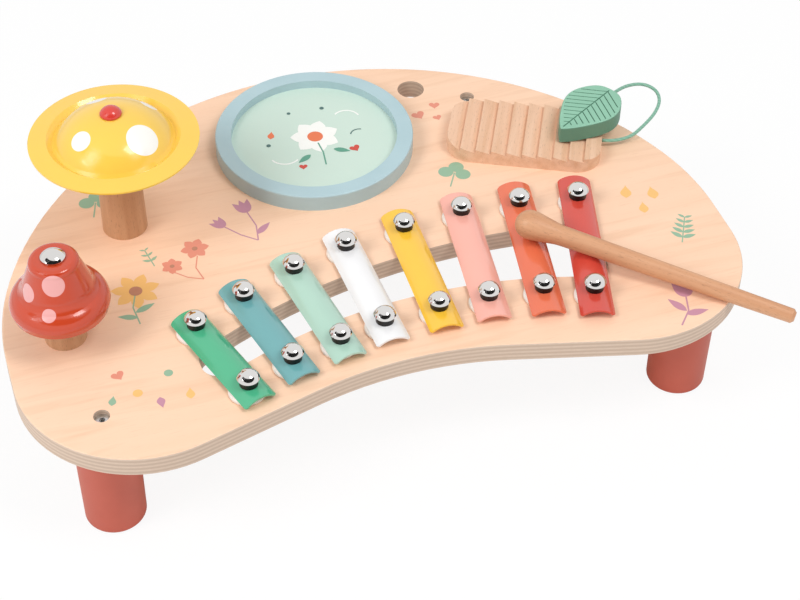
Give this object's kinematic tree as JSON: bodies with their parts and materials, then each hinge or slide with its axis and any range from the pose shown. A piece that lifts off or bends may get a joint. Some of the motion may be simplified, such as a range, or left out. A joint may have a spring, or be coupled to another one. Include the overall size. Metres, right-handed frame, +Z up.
{
  "type": "musical activity table",
  "caption": "Low wooden music table for small children with a drum, cymbal, bell, scraper, mallet and a fan of coloured metal chime bars.",
  "frame": {"origin": "middle of the bounding box at floor level, measured without the scraper's cord", "axes": "+X along the table, from the bell to the guiro; +Y from the bars' side to the drum's side; +Z up from the floor"},
  "size_m": [0.4069, 0.2836, 0.1572],
  "materials": {
    "birch_ply": "clear satin lacquer",
    "leg_paint": "satin paint on wood",
    "green_enamel": "gloss enamel",
    "blue_enamel": "gloss enamel",
    "mint_enamel": "gloss enamel",
    "white_enamel": "gloss enamel",
    "yellow_enamel": "gloss enamel",
    "pink_enamel": "gloss enamel",
    "orange_enamel": "gloss enamel",
    "red_enamel": "gloss enamel",
    "nail_chrome": "polished",
    "pad_plastic": "translucent milky",
    "ring_paint": "satin paint on ply",
    "drum_skin_film": "printed film, satin",
    "hoop_ply": "plain",
    "stem_paint": "satin paint on beech",
    "cymbal_enamel": "gloss enamel, printed dots",
    "red_plastic": "gloss",
    "felt": "felt",
    "bell_enamel": "gloss enamel, printed dots",
    "guiro_paint": "satin paint on beech",
    "leaf_paint": "satin paint on beech",
    "mallet_wood": "satin paint on beech",
    "cord_cotton": "twisted cotton",
    "zinc_steel": "zinc plated"
  },
  "bodies": {
    "table": {"tabletop": "birch_ply", "leg_front_left": "leg_paint", "leg_front_right": "leg_paint", "leg_rear_left": "leg_paint", "leg_rear_right": "leg_paint", "leg_bolts": "zinc_steel", "leg_inserts": "zinc_steel", "bar_green": "green_enamel", "bar_blue": "blue_enamel", "bar_mint": "mint_enamel", "bar_white": "white_enamel", "bar_yellow": "yellow_enamel", "bar_pink": "pink_enamel", "bar_orange": "orange_enamel", "bar_red": "red_enamel", "bar_nails": "nail_chrome", "bar_pads": "pad_plastic", "drum_ring": "ring_paint", "drum_skin": "drum_skin_film", "drum_hoop": "hoop_ply", "drum_screws": "zinc_steel", "cymbal_stem": "stem_paint", "cymbal_washer": "felt", "cymbal_cap_screw": "red_plastic", "bell_post": "stem_paint", "bell_washer": "felt", "bell_dome_screw": "zinc_steel", "post_screws": "zinc_steel", "guiro": "guiro_paint", "guiro_screws": "zinc_steel", "leaf_cord": "cord_cotton"},
    "cymbal": {"cymbal": "cymbal_enamel"},
    "bell": {"bell": "bell_enamel"},
    "leaf": {"leaf_scraper": "leaf_paint"},
    "mallet": {"mallet": "mallet_wood"}
  },
  "joints": [
    {"name": "cymbal_spin", "type": "hinge", "parent": "table", "child": "cymbal", "pos_m": [-0.12114, 0.04043, 0.148], "axis": [0, 0, 1], "continuous": true},
    {"name": "bell_spin", "type": "hinge", "parent": "table", "child": "bell", "pos_m": [-0.16874, -0.03467, 0.12], "axis": [0, 0, 1], "continuous": true},
    {"name": "leaf_scrape", "type": "slide", "parent": "table", "child": "leaf", "axis": [0.8965, -0.4431, 0], "range_m": [-0.06, 0]},
    {"name": "mallet_lift", "type": "slide", "parent": "table", "child": "mallet", "axis": [0, 0, 1], "range_m": [0, 0.12]}
  ]
}
